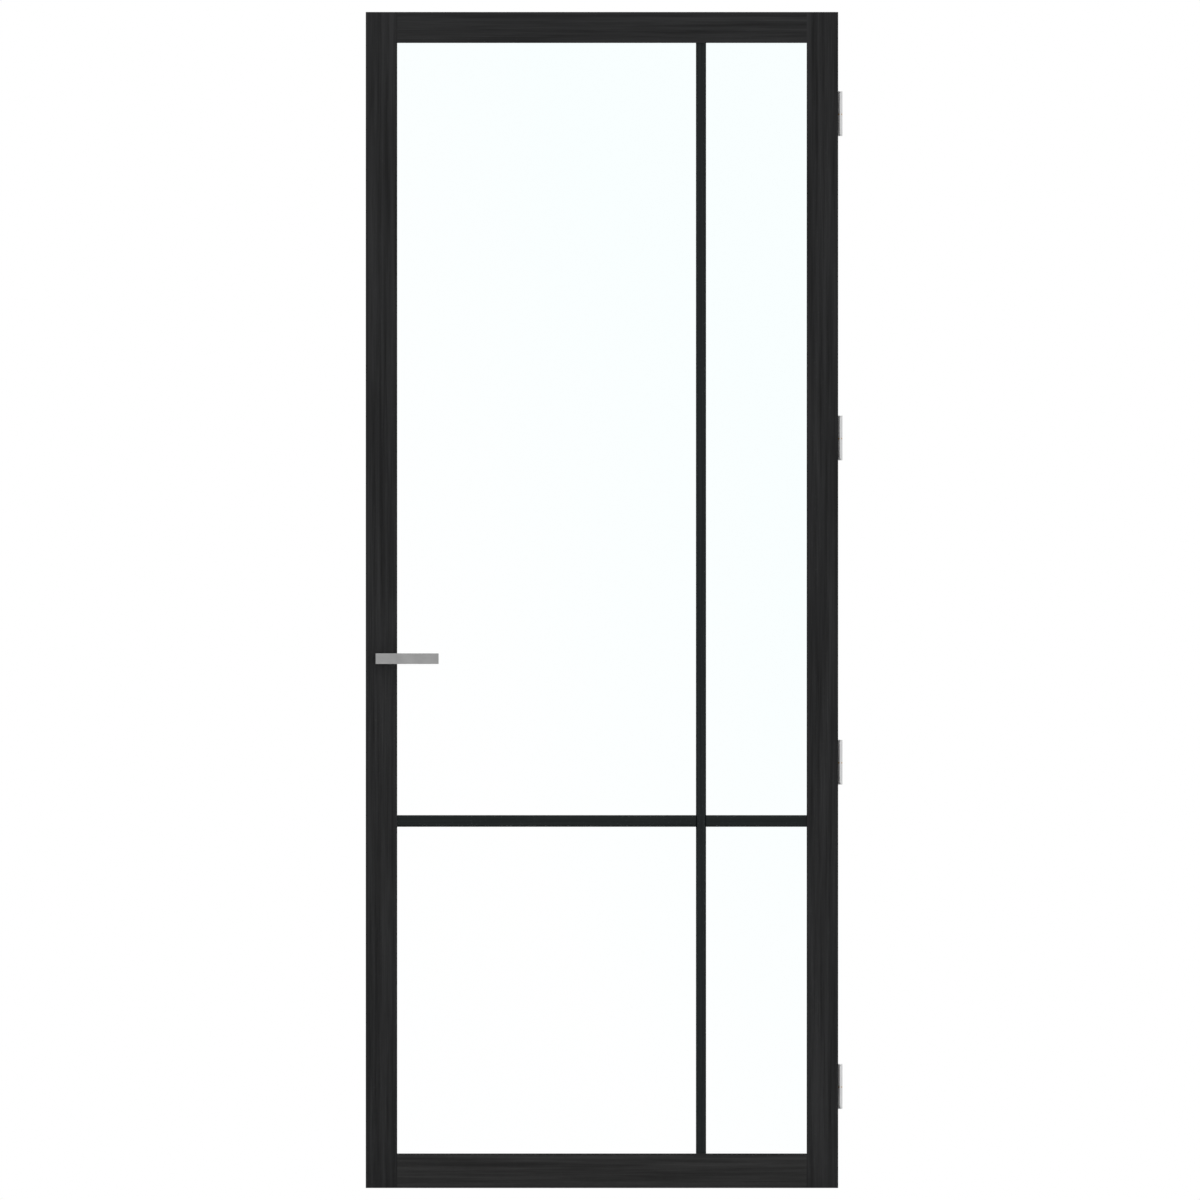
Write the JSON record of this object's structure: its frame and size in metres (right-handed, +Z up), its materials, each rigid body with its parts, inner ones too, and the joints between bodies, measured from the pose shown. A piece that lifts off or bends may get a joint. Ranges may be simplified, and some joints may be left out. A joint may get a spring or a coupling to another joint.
{
  "type": "framed glass door leaf",
  "caption": "Tall glass door leaf with a slim black frame, glued glazing bars, flat bar levers on a latch lock, and lift-off hinges along one edge.",
  "frame": {"origin": "at the foot of the leaf, in the middle of the box round the whole door with its levers and hinges", "axes": "+Z up along the leaf's height, +X to the right towards the hinges as seen from the front, +Y away through the leaf's depth, the way it opens"},
  "size_m": [0.9384, 0.15, 2.315],
  "materials": {
    "black_lacquer": "satin black lacquer with a fine straight grain",
    "bar_lacquer": "satin black lacquer",
    "black_foam": "closed cell foam tape",
    "beech": "planed loose tenon",
    "setting_plastic": "moulded",
    "clear_glass": "clear laminated safety glass",
    "zinc_steel": "zinc plated",
    "satin_stainless": "fine satin",
    "plain_steel": "bright drawn",
    "black_nylon": "moulded"
  },
  "bodies": {
    "jamb_side": {"jamb_hinge_leaf_1": "satin_stainless", "jamb_hinge_leaf_2": "satin_stainless", "jamb_hinge_leaf_3": "satin_stainless", "jamb_hinge_leaf_4": "satin_stainless"},
    "leaf": {"lock_stile": "black_lacquer", "hinge_stile": "black_lacquer", "top_rail": "black_lacquer", "bottom_rail": "black_lacquer", "left_bead": "black_lacquer", "right_bead": "black_lacquer", "top_bead": "black_lacquer", "bottom_bead": "black_lacquer", "front_upright_bar": "bar_lacquer", "front_cross_bar_wide": "bar_lacquer", "front_cross_bar_narrow": "bar_lacquer", "rear_upright_bar": "bar_lacquer", "rear_cross_bar_wide": "bar_lacquer", "rear_cross_bar_narrow": "bar_lacquer", "front_glazing_tape": "black_foam", "rear_glazing_tape": "black_foam", "front_bar_tape": "black_foam", "rear_bar_tape": "black_foam", "glass_pane": "clear_glass", "setting_blocks": "setting_plastic", "corner_tenons": "beech", "lock_case": "zinc_steel", "lock_cover": "zinc_steel", "lock_faceplate": "satin_stainless", "front_lever_bush": "black_nylon", "rear_lever_bush": "black_nylon", "door_hinge_leaf_1": "satin_stainless", "door_hinge_leaf_2": "satin_stainless", "door_hinge_leaf_3": "satin_stainless", "door_hinge_leaf_4": "satin_stainless"},
    "handle": {"front_lever": "satin_stainless", "rear_lever": "satin_stainless", "spindle": "plain_steel", "follower": "zinc_steel"},
    "latch": {"latch_bolt": "satin_stainless"}
  },
  "joints": [
    {"name": "door_swing", "type": "hinge", "parent": "jamb_side", "child": "leaf", "pos_m": [0.46225, 0.0285, 0.2], "axis": [0, 0, -1], "range_deg": [0, 110]},
    {"name": "lever_turn", "type": "hinge", "parent": "leaf", "child": "handle", "pos_m": [-0.43925, 0, 1.042], "axis": [0, 1, 0], "range_deg": [0, 45], "stiffness_Nm_per_rad": 1, "springref_deg": -28.65},
    {"name": "latch_slide", "type": "slide", "parent": "leaf", "child": "latch", "axis": [-1, 0, 0], "range_m": [0, 0.01], "stiffness_N_per_m": 60, "springref_m": -0.02}
  ]
}
